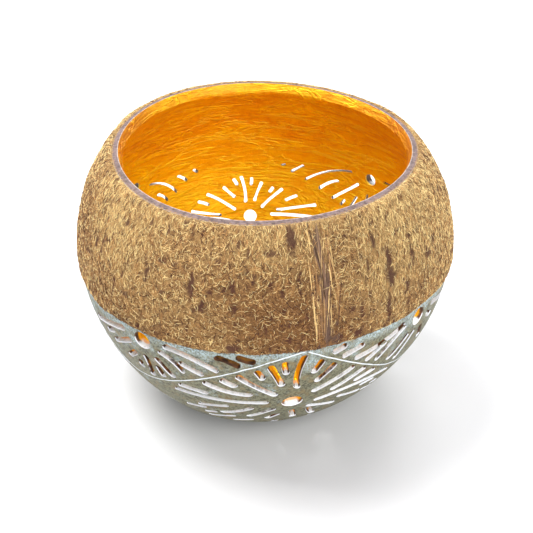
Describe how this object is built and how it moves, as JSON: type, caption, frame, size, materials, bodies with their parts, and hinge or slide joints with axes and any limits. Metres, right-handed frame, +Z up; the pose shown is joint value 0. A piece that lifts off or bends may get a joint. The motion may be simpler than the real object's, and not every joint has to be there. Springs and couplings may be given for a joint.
{
  "type": "carved coconut shell bowl",
  "caption": "Coconut shell bowl or tealight holder with a band of husk felt, a pierced sunburst carving below it and a gilded inside.",
  "frame": {"origin": "centre of the flat ground foot, on the surface that the bowl stands on", "axes": "+Z up along the bowl's axis, -Y towards the viewer of the picture, +X to the right"},
  "size_m": [0.1306, 0.1304, 0.094],
  "materials": {
    "shell": "olive grey scraped coconut shell with a thin pale stain, satin",
    "gilding": "gold lacquer brushed on by hand, glossy",
    "felt": "matted brown husk fibre sanded to a low felt, matt",
    "strand": "long straight husk fibres, matt",
    "whiting": "white paint run into the carved lines, matt"
  },
  "bodies": {
    "root": {"shell": "shell", "gold_lining": "gilding", "husk_felt_left": "felt", "husk_felt_right": "felt", "husk_felt_rear": "felt", "seam_strand_front": "strand", "seam_strand_right": "strand", "seam_strand_left": "strand", "swag_line_left": "whiting", "swag_line_right": "whiting", "swag_line_rear_right": "whiting", "swag_line_rear_left": "whiting"}
  },
  "joints": []
}
